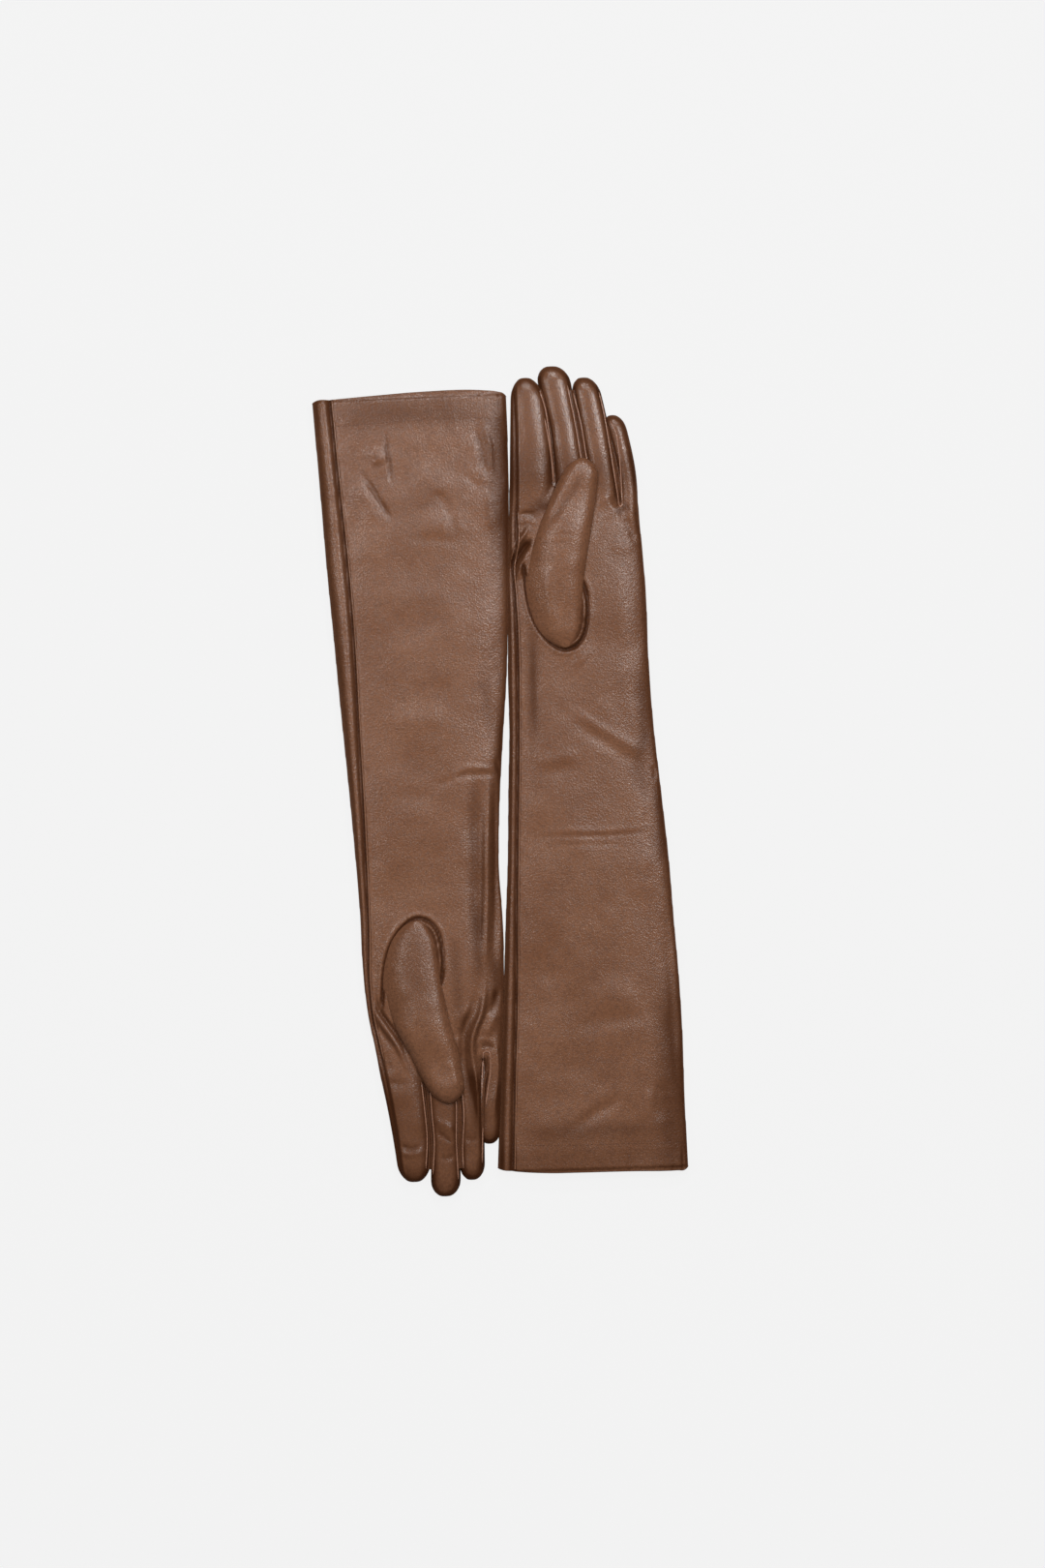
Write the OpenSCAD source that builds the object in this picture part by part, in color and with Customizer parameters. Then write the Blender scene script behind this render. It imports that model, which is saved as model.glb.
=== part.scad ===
// A pair of long dress gloves in soft leather, lying palm up and head to tail on a table.
//
// Each glove is drawn in its own frame: the origin is the middle of the hem on the table,
// +X runs from the thumb side to the little finger's side, +Y from the hem to the fingertips
// and +Z up out of the palm. place() then lays the two gloves beside each other.

/* [Sleeve] */
// Flat width of the sleeve at the hem
hem_width = 124.5; // [116:0.5:125]
// Flat width of the sleeve at the middle of the forearm
forearm_width = 110; // [104:0.5:112]
// Flat width at the wrist
wrist_width = 92; // [88:0.5:93]
// How much longer the sleeve is on the little finger's side
hem_skew = 4.4; // [0:0.2:6]
// Distance from the hem to the wrist crease
wrist_y = 300; // [292:1:305]
// Height of the sleeve lying flat, at the hem
hem_height = 14; // [13:0.5:16]

/* [Hand] */
// Flat width across the palm
palm_width = 88; // [86:0.5:89]
// Height of the palm lying flat
palm_height = 13; // [12.5:0.5:14]
// Height of a finger lying flat
finger_height = 12; // [11:0.5:12]
// Height of the thumb above the palm that it lies on
thumb_height = 12.5; // [10:0.5:14]

/* [Leather and lining] */
// Thickness of the leather
leather = 0.8; // [0.6:0.1:1]
// Thickness of the lining
lining = 0.4; // [0.3:0.1:0.6]
// Air between two layers
layer_gap = 0.1; // [0.1:0.05:0.15]
// Depth of the hem turned inside the sleeve
hem_turn = 20; // [14:1:30]
// Thickness of the sewing thread
thread = 0.25; // [0.2:0.05:0.3]

/* [Pair] */
// How far the left glove leans, in degrees
left_lean = 1.6; // [1.4:0.1:1.8]
// How far the right glove leans, in degrees
right_lean = 2.5; // [2.3:0.1:2.6]

/* [Hidden] */
SIDES = ["left", "right"];
FINGERS = ["index", "middle", "ring", "little"];
GAPS = ["index_middle", "middle_ring", "ring_little"];
SLEEVE_NODES = ["sleeve", "sleeve_lining", "hem_band", "sleeve_thread", "hem_thread"];
HAND_NODES = ["hand", "hand_lining", "palm_thread", "thumb_thread", "thumb", "thumb_lining"];

left_hem_middle = [60.95, -253];
right_hem_middle = [-61.55, 250];

arc_steps = 7;                 // flats in each half-round edge of a sleeve section
finger_steps = 5;              // the same on a finger
cut = 0.3;                     // gap between two pieces that a crease lets move
finger_gap = 0.5;              // air between two fingers lying side by side
lining_inset = leather + layer_gap;
seam_inset = 9;                // from the thumb side's edge to the side seam on the palm
web_y = 446;                   // crotch of the index, middle and ring fingers
little_web_y = 434;            // crotch of the ring and little fingers
stem_y = 424;                  // where the finger tubes start inside the palm
base_y = 440;                  // where the finger edges below are measured
fourchette_w = 2.1;            // how far a side strip comes round onto the palm
finger_lift = 0.4;             // how far the thinner fingers lie off the table
web_step = 0.8;                // how far the fingers stand in from the web's edge

// Width and middle of a section, by its distance from the hem
section_width = [[0, hem_width], [70, hem_width - 4], [135, (hem_width + forearm_width) / 2 - 2],
                 [200, forearm_width - 2.5], [265, (forearm_width + wrist_width) / 2 - 3],
                 [330, wrist_width], [385, palm_width + 1], [440, palm_width - 4]];
section_middle = [[0, 0.2], [70, 0.8], [135, 1.5], [200, 1.7], [265, 0.5], [330, 0], [440, 0]];
section_height = [[0, hem_height], [wrist_y, palm_height], [440, palm_height]];

// Edges between the fingers, from the thumb side, at base_y and near the fingertips
left_base = [-41, -14, 8, 28.5, 41];
left_tips = [-40.5, -19, -1, 16.5, 33.5];
right_base = [-40, -11, 9.5, 29, 41];
right_tips = [-29.5, -8.5, 12.5, 29, 38.5];
edge_tip_y = 516;
left_tip_y = [517, 524, 516, 491];
right_tip_y = [512, 521, 512, 488];
// From a fingertip back to the crease at the finger's middle joint
crease_back = [40, 42, 40, 32];

// The thumb's outline and height, by distance from the hem: [y, thumb side, other side, height]
thumb_base_y = 340;
thumb_sections = [
    [thumb_base_y, -15, -8, 0.2], [346, -21, -3.5, 0.45], [355, -28, 0, 0.72], [367, -32, 2, 0.92],
    [381, -33, 4.5, 1], [396, -31, 7.5, 1], [414, -26, 10.5, 1], [429, -20, 13, 1],
    [441, -14, 14, 0.96], [452, -7.5, 13.5, 0.84], [459, -2, 11.5, 0.62], [463, 2, 8, 0.34]
];
thumb_lift = 0.4;              // air between the thumb and the palm
thumb_hole = [-14.5, 370];
thumb_hole_size = [11, 17];

function edge_left(y) = lookup(y, section_middle) - lookup(y, section_width) / 2;
function edge_right(y) = lookup(y, section_middle) + lookup(y, section_width) / 2;
function mix(a, b, t) = a + (b - a) * t;
// The hem runs aslant, and the slant has gone by the middle of the forearm
function hem_slant(x, y) = -hem_skew / hem_width * x * max(0, 1 - y / 80);

// A flat section with half-round edges, w wide on each side of its middle, drawn in its inset
function section(xl, xr, y, z0, h, inset, steps) =
    let (r = h / 2 - inset, rx = min(h / 2, (xr - xl) / 2) - inset, c = min(h / 2, (xr - xl) / 2))
    [for (s = [1, -1], i = [0 : steps])
        let (a = (s > 0 ? -90 : 90) + 180 * i / steps, x = (s > 0 ? xr - c : xl + c) + rx * cos(a))
        [x, y + hem_slant(x, y), z0 + h / 2 + r * sin(a)]];

// A closed skin through a list of sections with the same number of points
module loft(rings) {
    n = len(rings[0]);
    last = len(rings) - 1;
    sides = [for (k = [0 : last - 1], i = [0 : n - 1])
        let (a = k * n + i, b = k * n + (i + 1) % n) each [[a, b, b + n], [a, b + n, a + n]]];
    caps = [[for (i = [0 : n - 1]) n - 1 - i], [for (i = [0 : n - 1]) last * n + i]];
    polyhedron(points = [for (r = rings) each r], faces = concat(sides, caps));
}

// A skin with an inside and an outside, open where it starts, and at its end too unless it is a cup
module skin(outer, inner, cup = false) {
    n = len(outer[0]);
    end = (len(outer) - 1) * n;
    q = len(outer) * n;
    inner_end = q + (len(inner) - 1) * n;
    outside = [for (k = [0 : n : end - n], i = [0 : n - 1])
        let (a = k + i, b = k + (i + 1) % n) each [[a, b, b + n], [a, b + n, a + n]]];
    inside = [for (k = [q : n : inner_end - n], i = [0 : n - 1])
        let (a = k + i, b = k + (i + 1) % n) each [[b, a, b + n], [b + n, a, a + n]]];
    mouth = [for (i = [0 : n - 1]) let (j = (i + 1) % n) each [[j, i, q + i], [j, q + i, q + j]]];
    far_mouth = [for (i = [0 : n - 1]) let (j = (i + 1) % n)
        each [[end + i, end + j, inner_end + j], [end + i, inner_end + j, inner_end + i]]];
    far_caps = [[for (i = [0 : n - 1]) end + i], [for (i = [0 : n - 1]) inner_end + n - 1 - i]];
    polyhedron(points = [for (r = concat(outer, inner)) each r],
               faces = concat(outside, inside, mouth, cup ? far_caps : far_mouth));
}

// One mesh of a soft shape: resize() with zeros keeps the size
module soft() {
    resize([0, 0, 0]) children();
}

// The arm and the palm between two distances from the hem
function body_stations(y0, y1) =
    concat([y0], [for (y = [30, 70, 135, 200, 245, 265, 290, 330, 360, 385, 410]) if (y > y0 + 4 && y < y1 - 4) y],
           [y1]);
function body_rings(y0, y1, inset) = [for (y = body_stations(y0, y1))
    section(edge_left(y), edge_right(y), y, 0, lookup(y, section_height), inset, arc_steps)];
module body_tube(y0, y1, inset, wall) {
    skin(body_rings(y0, y1, inset), body_rings(y0, y1, inset + wall));
}

function tip_y(side, f) = (side == "left" ? left_tip_y : right_tip_y)[f];
function knuckle_y(side, f) = tip_y(side, f) - crease_back[f];
function base_edges(side) = side == "left" ? left_base : right_base;
function tip_edges(side) = side == "left" ? left_tips : right_tips;
// Edge number e of the fingers at a distance from the hem
function finger_edge(side, e, y) =
    mix(base_edges(side)[e], tip_edges(side)[e], (y - base_y) / (edge_tip_y - base_y));
function finger_left(side, f, y) = finger_edge(side, f, y) + finger_gap / 2;
function finger_right(side, f, y) = finger_edge(side, f + 1, y) - finger_gap / 2;

// How much of its full section a finger has: all of it, then a round end
tip_round = 11;
function tip_share(side, f, y, inset) =
    let (d = tip_y(side, f) - inset - y) d >= tip_round ? 1 : sqrt(max(0.02, 1 - pow((tip_round - d) / tip_round, 2)));
function finger_section(side, f, y, inset) =
    let (s = tip_share(side, f, y, inset), m = (finger_left(side, f, y) + finger_right(side, f, y)) / 2,
         w = (finger_right(side, f, y) - finger_left(side, f, y)) / 2 * s,
         h = finger_height * (0.25 + 0.75 * s))
    section(m - w, m + w, y, finger_lift + (finger_height - h) * 0.4, h, inset * (0.4 + 0.6 * s), finger_steps);
function tip_stations(side, f, y0, inset) =
    concat([y0], [for (d = [11, 7, 4, 1.8, 0.5]) tip_y(side, f) - inset - d]);

module finger_stem(side, f, y0, y1, inset) {
    loft([for (y = [y0, (y0 + y1) / 2, y1]) finger_section(side, f, y, inset)]);
}
function end_rings(side, f, inset) =
    [for (y = tip_stations(side, f, knuckle_y(side, f) + cut / 2, inset)) finger_section(side, f, y, inset)];
// The finger beyond the knuckle crease, open towards the palm
module finger_end_shell(side, f, inset, wall) {
    skin(end_rings(side, f, inset), end_rings(side, f, inset + wall), cup = true);
}

// The space that side strip g takes between finger g and finger g + 1, seen from above
module strip_area(side, g, y0, y1, half) {
    x0 = finger_edge(side, g + 1, y0);
    x1 = finger_edge(side, g + 1, y1);
    translate([0, 0, -1])
        linear_extrude(finger_height + 4)
            polygon([[x0 - half, y0], [x0 + half, y0], [x1 + half, y1], [x1 - half, y1]]);
}
function web_of(g) = g == 2 ? little_web_y : web_y;

module thumb_opening(z0, z1) {
    translate([thumb_hole[0], thumb_hole[1], z0])
        linear_extrude(z1 - z0)
            polygon([for (a = [0 : 24 : 336]) [thumb_hole_size[0] * cos(a), thumb_hole_size[1] * sin(a)]]);
}

// The palm with the finger stems, up to the knuckle creases
module hand_solid(side, inset, extra) {
    loft(body_rings(wrist_y + cut / 2 - extra, little_web_y - inset, inset));
    loft([for (y = [stem_y - 4 + inset, web_y - inset])
        section(finger_left(side, 0, y) - web_step, finger_right(side, 2, y) + web_step, y, finger_lift / 2,
                finger_height + finger_lift, inset, finger_steps)]);
    for (f = [0 : 3]) finger_stem(side, f, stem_y, knuckle_y(side, f) - cut / 2 + extra, inset);
}
module hand_shell(side, inset, wall) {
    difference() {
        hand_solid(side, inset, 0);
        hand_solid(side, inset + wall, 1);
        thumb_opening(finger_height / 2, palm_height + 1);
    }
}

module thumb_solid(inset) {
    loft([for (t = thumb_sections)
        let (h = thumb_height * t[3], keep = min(inset, h * 0.32),
             y = t[0] == thumb_base_y ? t[0] + inset : t[0] == 463 ? t[0] - inset : t[0])
        section(t[1], t[2], y, palm_height + thumb_lift, h, keep, finger_steps)]);
}
module thumb_shell(inset, wall) {
    difference() {
        thumb_solid(inset);
        thumb_solid(inset + wall);
        thumb_opening(palm_height - 1, palm_height + thumb_height / 2);
    }
}

// A flat thread laid along points on the leather
module sewn(points) {
    n = len(points);
    half = 0.3;
    rings = [for (p = points) [[p[0] - half, p[1], p[2]], [p[0] + half, p[1], p[2]],
                               [p[0] + half, p[1], p[2] + thread], [p[0] - half, p[1], p[2] + thread]]];
    soft() loft(rings);
}

module sleeve() {
    color("#7d5a48") body_tube(0, wrist_y - cut / 2, 0, leather);
}
module sleeve_lining() {
    color("#3a2a22") body_tube(hem_turn + 1.5, wrist_y - cut / 2, lining_inset, lining);
}
module hem_band() {
    color("#6b4c3c") body_tube(0.6, hem_turn, lining_inset, leather);
}
// The side seam on the palm face, along the sleeve
module sleeve_thread() {
    color("#5b3d2e") sewn([for (y = body_stations(1, wrist_y - 1))
        [edge_left(y) + seam_inset, y, lookup(y, section_height) + 0.04]]);
}
// The line of stitches that holds the turned hem, across the palm face
module hem_thread() {
    y = hem_turn - 4;
    a = edge_left(y) + 11;
    b = edge_right(y) - 9;
    color("#5b3d2e") translate([0, y, lookup(y - 3, section_height) + 0.02])
        linear_extrude(thread)
            polygon([for (p = [[a, 0.3], [a, -0.3], [b, -0.3], [b, 0.3]]) [p[0], p[1] + hem_slant(p[0], y)]]);
}
module hand(side) {
    color("#7d5a48") soft() difference() {
        hand_shell(side, 0, leather);
        for (g = [0 : 2])
            strip_area(side, g, web_of(g) - leather - 0.4, knuckle_y(side, g) + 20, fourchette_w);
    }
}
module hand_lining(side) {
    color("#3a2a22") soft() hand_shell(side, lining_inset, lining);
}
// The strip that runs up one finger, round the crotch and up the next
module fourchette(side, g) {
    color("#70503f") soft() intersection() {
        hand_shell(side, 0, leather);
        strip_area(side, g, web_of(g) - leather - 0.4 + layer_gap, knuckle_y(side, g) + 20, fourchette_w - layer_gap);
    }
}
// The side seam on the palm face, from the wrist to the base of the index finger
module palm_thread() {
    color("#5b3d2e") sewn([for (y = [wrist_y + 1, 330, 360, 385, 408])
        [edge_left(y) + seam_inset - 2, y, palm_height + 0.04]]);
}
// The stitches round the thumb's opening, between the palm and the thumb
module thumb_thread() {
    color("#5b3d2e") translate([thumb_hole[0], thumb_hole[1], palm_height + 0.06])
        linear_extrude(thread) difference() {
            polygon([for (a = [0 : 15 : 345]) [14 * cos(a), 20 * sin(a)]]);
            polygon([for (a = [0 : 15 : 345]) [13.4 * cos(a), 19.4 * sin(a)]]);
        }
}
module thumb() {
    color("#83604e") soft() thumb_shell(0, leather);
}
module thumb_lining() {
    color("#3a2a22") soft() thumb_shell(lining_inset, lining);
}
// The strips beside finger f, on one body with its tip
module tip_strip_areas(side, f, half) {
    if (f > 0) strip_area(side, f - 1, knuckle_y(side, f) - 2, tip_y(side, f) + 2, half);
    if (f < 3) strip_area(side, f, knuckle_y(side, f) - 2, tip_y(side, f) + 2, half);
}
module finger_tip(side, f) {
    color("#7d5a48") soft() difference() {
        finger_end_shell(side, f, 0, leather);
        tip_strip_areas(side, f, fourchette_w);
    }
}
module finger_tip_fourchette(side, f) {
    color("#70503f") soft() intersection() {
        finger_end_shell(side, f, 0, leather);
        tip_strip_areas(side, f, fourchette_w - layer_gap);
    }
}
module finger_tip_lining(side, f) {
    color("#3a2a22") finger_end_shell(side, f, lining_inset, lining);
}

// The right glove is the left one's mirror image, turned head to tail
module place(side) {
    if (side == "left")
        translate([left_hem_middle[0], left_hem_middle[1], 0]) rotate(left_lean) children();
    else
        translate([right_hem_middle[0], right_hem_middle[1], 0]) rotate(180 + right_lean)
            mirror([1, 0, 0]) children();
}

for (s = SIDES) place(s) {
    sleeve();
    sleeve_lining();
    hem_band();
    sleeve_thread();
    hem_thread();
    hand(s);
    hand_lining(s);
    palm_thread();
    thumb_thread();
    thumb();
    thumb_lining();
    for (g = [0 : 2])
        fourchette(s, g);
    for (f = [0 : 3]) {
        finger_tip(s, f);
        finger_tip_fourchette(s, f);
        finger_tip_lining(s, f);
    }
}
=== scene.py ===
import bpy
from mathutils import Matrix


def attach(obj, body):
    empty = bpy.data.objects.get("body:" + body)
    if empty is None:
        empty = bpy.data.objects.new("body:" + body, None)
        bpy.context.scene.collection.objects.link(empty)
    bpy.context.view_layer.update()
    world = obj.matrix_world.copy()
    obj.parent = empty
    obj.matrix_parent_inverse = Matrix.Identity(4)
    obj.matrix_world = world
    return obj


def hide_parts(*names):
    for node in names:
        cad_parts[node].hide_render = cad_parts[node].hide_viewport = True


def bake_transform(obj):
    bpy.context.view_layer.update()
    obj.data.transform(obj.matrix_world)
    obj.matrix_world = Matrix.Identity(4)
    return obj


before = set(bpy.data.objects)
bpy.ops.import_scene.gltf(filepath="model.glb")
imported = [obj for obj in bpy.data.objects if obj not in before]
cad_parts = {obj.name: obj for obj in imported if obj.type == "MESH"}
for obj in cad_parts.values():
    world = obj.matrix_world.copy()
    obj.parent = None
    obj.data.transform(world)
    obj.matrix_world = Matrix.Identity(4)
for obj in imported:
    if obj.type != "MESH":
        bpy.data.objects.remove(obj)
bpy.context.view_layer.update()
import math

import bpy
import numpy as np
from mathutils import Vector
from mathutils.bvhtree import BVHTree

MM = 0.001

# ---------------------------------------------------------------- camera, light and floor
FRAME_HEIGHT = 1.0206          # what the picture's height covers at the gloves
EYE_HEIGHT = 3.0
FOCUS_HEIGHT = 0.012           # the height on the gloves that FRAME_HEIGHT is measured at
SENSOR = 36.0
cam_data = bpy.data.cameras.new("camera")
cam_data.sensor_fit = "VERTICAL"
cam_data.sensor_height = SENSOR
cam_data.lens = SENSOR * (EYE_HEIGHT - FOCUS_HEIGHT) / FRAME_HEIGHT
cam_data.clip_end = 20.0
camera = bpy.data.objects.new("camera", cam_data)
camera.location = (0.0151, -0.0016, EYE_HEIGHT)
bpy.context.collection.objects.link(camera)
bpy.context.scene.camera = camera


def area_light(name, place, aim, size, power, glossy=True):
    data = bpy.data.lights.new(name, "AREA")
    data.shape = "RECTANGLE"
    data.size, data.size_y = size
    data.energy = power
    lamp = bpy.data.objects.new(name, data)
    lamp.location = place
    lamp.rotation_euler = (Vector(aim) - Vector(place)).to_track_quat("-Z", "Y").to_euler()
    lamp.visible_glossy = glossy
    bpy.context.collection.objects.link(lamp)


# An overhead softbox lights the dye; the sheen comes from softboxes behind the gloves and at their sides
area_light("overhead", (0.0, 0.4, 2.3), (0, 0, 0), (1.1, 1.1), 16, glossy=False)
area_light("key", (1.0, 0.75, 2.15), (0, 0, 0), (0.35, 0.7), 18)
area_light("back", (0.0, 1.6, 1.8), (0, 0, 0), (0.8, 0.3), 16)
area_light("left", (-1.2, 0.5, 2.0), (0, 0, 0), (0.3, 0.7), 10)

scene = bpy.context.scene
scene.view_settings.view_transform = "Standard"
scene.view_settings.look = "None"
world = bpy.data.worlds.new("studio")
scene.world = world
world.use_nodes = True
world.node_tree.nodes["Background"].inputs["Color"].default_value = (0.9, 0.9, 0.9, 1)
world.node_tree.nodes["Background"].inputs["Strength"].default_value = 0.06


# ---------------------------------------------------------------- materials
def new_material(name):
    mat = bpy.data.materials.new(name)
    mat.use_nodes = True
    nt = mat.node_tree
    return mat, nt, nt.nodes["Principled BSDF"]


def node(nt, kind, **values):
    n = nt.nodes.new(kind)
    for key, value in values.items():
        if hasattr(n, key):
            setattr(n, key, value)
        else:
            n.inputs[key.replace("_", " ")].default_value = value
    return n


def link(nt, a, a_out, b, b_in):
    nt.links.new(a.outputs[a_out], b.inputs[b_in])


def mixed(nt, factor, a, b):
    """A colour between a and b; each may be a colour or a node's output."""
    m = node(nt, "ShaderNodeMix", data_type="RGBA")
    nt.links.new(factor, m.inputs["Factor"])
    for value, socket in ((a, m.inputs["A"]), (b, m.inputs["B"])):
        if isinstance(value, tuple):
            socket.default_value = (*value, 1)
        else:
            nt.links.new(value, socket)
    return m.outputs["Result"]


def ranged(nt, value, lo, hi, to_lo=0.0, to_hi=1.0):
    m = nt.nodes.new("ShaderNodeMapRange")
    nt.links.new(value, m.inputs["Value"])
    for key, v in (("From Min", lo), ("From Max", hi), ("To Min", to_lo), ("To Max", to_hi)):
        m.inputs[key].default_value = v
    return m.outputs["Result"]


def leather(name, base, dark, light, grain=0.50, rough=0.245):
    """Smooth nappa: pebbled grain, cloudy dye, and shade painted on the mesh in creases, valleys and on
    slopes.
    """
    mat, nt, bsdf = new_material(name)
    rest = node(nt, "ShaderNodeAttribute", attribute_name="rest")
    painted_shade = node(nt, "ShaderNodeAttribute", attribute_name="painted_shade")
    cloud = node(nt, "ShaderNodeTexNoise", Scale=0.03, Detail=3.0, Roughness=0.55)
    mottle = node(nt, "ShaderNodeTexNoise", Scale=0.55, Detail=3.0, Roughness=0.65)
    cells = node(nt, "ShaderNodeTexVoronoi", Scale=0.85, Randomness=1.0)
    pores = node(nt, "ShaderNodeTexNoise", Scale=1.7, Detail=3.0, Roughness=0.6)
    for n in (cloud, mottle, cells, pores):
        link(nt, rest, "Vector", n, "Vector")
    color = mixed(nt, ranged(nt, cloud.outputs["Fac"], 0.36, 0.64), base, light)
    color = mixed(nt, ranged(nt, mottle.outputs["Fac"], 0.40, 0.72, 0.0, 0.5), color, dark)
    # painted shade: the mesh attribute darkens the colour towards dark
    color = mixed(nt, ranged(nt, painted_shade.outputs["Fac"], 0.0, 1.0), color, dark)
    nt.links.new(color, bsdf.inputs["Base Color"])
    height = node(nt, "ShaderNodeMath", operation="MULTIPLY_ADD")
    link(nt, pores, "Fac", height, 0)
    height.inputs[1].default_value = 0.9
    link(nt, cells, "Distance", height, 2)
    bump = node(nt, "ShaderNodeBump", Distance=0.00026)
    link(nt, height, "Value", bump, "Height")
    link(nt, bump, "Normal", bsdf, "Normal")
    # the leather of the fingers is stretched: less grain and more shine
    parts = node(nt, "ShaderNodeSeparateXYZ")
    link(nt, rest, "Vector", parts, "Vector")
    nt.links.new(ranged(nt, parts.outputs["Y"], 420.0, 475.0, grain, 0.6 * grain), bump.inputs["Strength"])
    gloss = node(nt, "ShaderNodeMath", operation="SUBTRACT")
    nt.links.new(ranged(nt, mottle.outputs["Fac"], 0.3, 0.7, rough - 0.06, rough + 0.10), gloss.inputs[0])
    nt.links.new(ranged(nt, parts.outputs["Y"], 430.0, 475.0, 0.0, 0.03), gloss.inputs[1])
    link(nt, gloss, "Value", bsdf, "Roughness")
    # less sheen where shade is painted on the mesh
    nt.links.new(ranged(nt, painted_shade.outputs["Fac"], 0.0, 0.8, 0.6, 0.1), bsdf.inputs["Specular IOR Level"])
    return mat


def cloth_material(name, color, dark, scale, rough=0.85):
    mat, nt, bsdf = new_material(name)
    rest = node(nt, "ShaderNodeAttribute", attribute_name="rest")
    wave = node(nt, "ShaderNodeTexWave", Scale=scale, Distortion=1.5, Detail=1.0)
    speck = node(nt, "ShaderNodeTexNoise", Scale=scale * 0.8, Detail=2.0)
    link(nt, rest, "Vector", wave, "Vector")
    link(nt, rest, "Vector", speck, "Vector")
    speckled = mixed(nt, ranged(nt, speck.outputs["Fac"], 0.35, 0.65), color, dark)
    nt.links.new(speckled, bsdf.inputs["Base Color"])
    bump = node(nt, "ShaderNodeBump", Strength=0.4, Distance=0.0002)
    link(nt, wave, "Fac", bump, "Height")
    link(nt, bump, "Normal", bsdf, "Normal")
    bsdf.inputs["Roughness"].default_value = rough
    bsdf.inputs["Sheen Weight"].default_value = 0.05
    return mat


LEATHER = leather("leather", (0.215, 0.091, 0.045), (0.060, 0.020, 0.008), (0.250, 0.111, 0.058))
# a darker copy of the leather: painted shade on the strips down in the folds between the fingers
STRIP_PAINTED_SHADE = leather("leather_strips_painted_shade", (0.115, 0.045, 0.021), (0.045, 0.015, 0.006), (0.135, 0.054, 0.026))
# lighter copies of the leather: a painted highlight on the seams' raised edges and on the side seam's lip
WELT_PAINTED_HIGHLIGHT = leather("leather_edges_painted_highlight", (0.360, 0.180, 0.115), (0.16, 0.07, 0.04), (0.40, 0.21, 0.14), grain=0.1)
LIP_PAINTED_HIGHLIGHT = leather("leather_lips_painted_highlight", (0.250, 0.115, 0.064), (0.12, 0.05, 0.025), (0.285, 0.135, 0.078), grain=0.2)
LINING = cloth_material("lining", (0.055, 0.035, 0.026), (0.035, 0.022, 0.016), 1.6)
THREAD = cloth_material("thread", (0.10, 0.042, 0.022), (0.06, 0.024, 0.012), 4.0, 0.6)

floor_mesh = bpy.data.meshes.new("floor")
FLOOR_HALF, FLOOR_Z = 6, -0.0004
corners = [(x * FLOOR_HALF, y * FLOOR_HALF, FLOOR_Z) for x, y in ((-1, -1), (1, -1), (1, 1), (-1, 1))]
floor_mesh.from_pydata(corners, [], [(0, 1, 2, 3)])
floor = bpy.data.objects.new("floor", floor_mesh)
bpy.context.collection.objects.link(floor)
floor.visible_glossy = False
floor_mat, _, bsdf = new_material("floor")
bsdf.inputs["Base Color"].default_value = (0.04, 0.04, 0.04, 1)
bsdf.inputs["Roughness"].default_value = 1.0
bsdf.inputs["Specular IOR Level"].default_value = 0.0
bsdf.inputs["Emission Color"].default_value = (0.9, 0.9, 0.9, 1)
bsdf.inputs["Emission Strength"].default_value = 0.955
floor_mesh.materials.append(floor_mat)


# ---------------------------------------------------------------- the glove's plan, in millimetres
# Each glove is drawn on its own: origin at the middle of the hem on the table, x from the thumb side to the
# little finger's side, y to the fingertips, z out of the palm.
SIDES = {
    "left": dict(hem=(61.1, -252.9), turn=1.6, mirror=1),
    "right": dict(hem=(-59.2, 250.1), turn=182.5, mirror=-1),
}
FINGERS = ["index", "middle", "ring", "little"]
GAPS = ["index_middle", "middle_ring", "ring_little"]
WRIST = 300.0
WEB = 446.0
LITTLE_WEB = 432.0


def place(points, side):
    """Local millimetres to the row frame in metres."""
    s = SIDES[side]
    a = math.radians(s["turn"])
    p = np.asarray(points, float)
    x = p[..., 0] * s["mirror"]
    y = p[..., 1]
    return np.stack([s["hem"][0] + x * math.cos(a) - y * math.sin(a),
                     s["hem"][1] + x * math.sin(a) + y * math.cos(a), p[..., 2]], -1) * MM


def smooth(t):
    t = np.clip(t, 0, 1)
    return t * t * (3 - 2 * t)


def bell(d, width):
    return np.exp(-(d / width) ** 2)


def spaced(lo, hi, step):
    return np.append(np.arange(lo, hi, step), hi)


def curve(table, y):
    """A smooth curve through (y, value) pairs."""
    t = np.array(table, float)
    ys, vs = t[:, 0], t[:, 1]
    slope = np.gradient(vs, ys)
    y = np.clip(y, ys[0], ys[-1])
    k = np.clip(np.searchsorted(ys, y) - 1, 0, len(ys) - 2)
    h = ys[k + 1] - ys[k]
    u = (y - ys[k]) / h
    return ((2 * u ** 3 - 3 * u ** 2 + 1) * vs[k] + (u ** 3 - 2 * u ** 2 + u) * h * slope[k]
            + (-2 * u ** 3 + 3 * u ** 2) * vs[k + 1] + (u ** 3 - u ** 2) * h * slope[k + 1])


# The pattern both gloves share, with straight fingers held apart
PLAIN_HALF = [(-8, 62.5), (0, 62.5), (50, 61.5), (100, 59.5), (150, 56.5), (200, 53), (250, 50), (300, 47),
              (350, 45.5), (400, 43.5), (446, 42)]
PLAIN_EDGES = [-42, -14, 8, 28.5, 42]
PLAIN_TIPS = [518, 525, 517, 492]
HALF_GAP = 1.2
STRIP_W = 2.6                  # how far a side strip comes round onto the palm

# Where the CAD has the fingers' creases
CREASE = {"left": [477, 482, 476, 459], "right": [472, 479, 472, 456]}
TIPS = {"left": [518.2, 525.2, 517.2, 492.2], "right": [512, 522, 512, 489]}

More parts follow.
